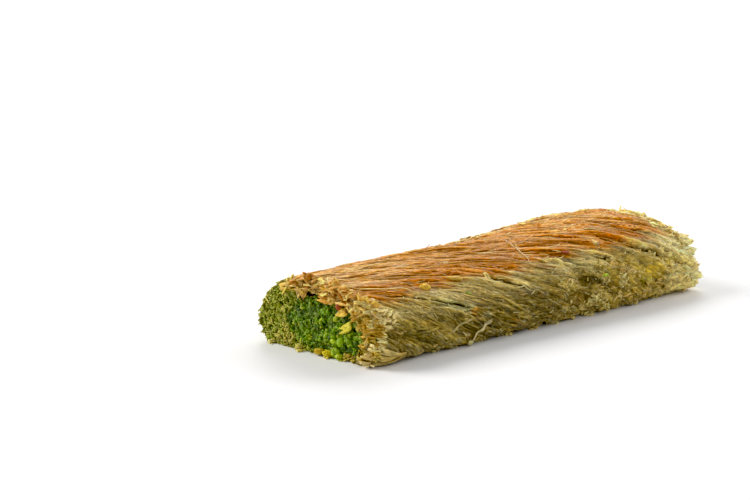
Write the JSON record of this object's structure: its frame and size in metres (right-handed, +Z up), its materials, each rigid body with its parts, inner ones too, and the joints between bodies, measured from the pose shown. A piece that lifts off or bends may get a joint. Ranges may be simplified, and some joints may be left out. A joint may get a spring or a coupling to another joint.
{
  "type": "pistachio kadayif roll",
  "caption": "Cut length of kadayif roll pastry: fine shredded dough wound in a shallow helix round a ground pistachio core that shows at both sawn ends.",
  "frame": {"origin": "middle of the underside, on the surface the roll rests on", "axes": "+X along the roll, from the near sawn face at -X to the frayed far face at +X; +Z up; strands wind from the crown down the -Y side towards +X"},
  "size_m": [0.11, 0.0402, 0.0189],
  "materials": {
    "dough": "baked golden brown on top, olive and translucent at the sides, syrup glaze",
    "pistachio": "moist crumbly ground nut, mixed greens"
  },
  "bodies": {
    "root": {"kadayif_wrap": "dough", "pistachio_core": "pistachio"}
  },
  "joints": []
}
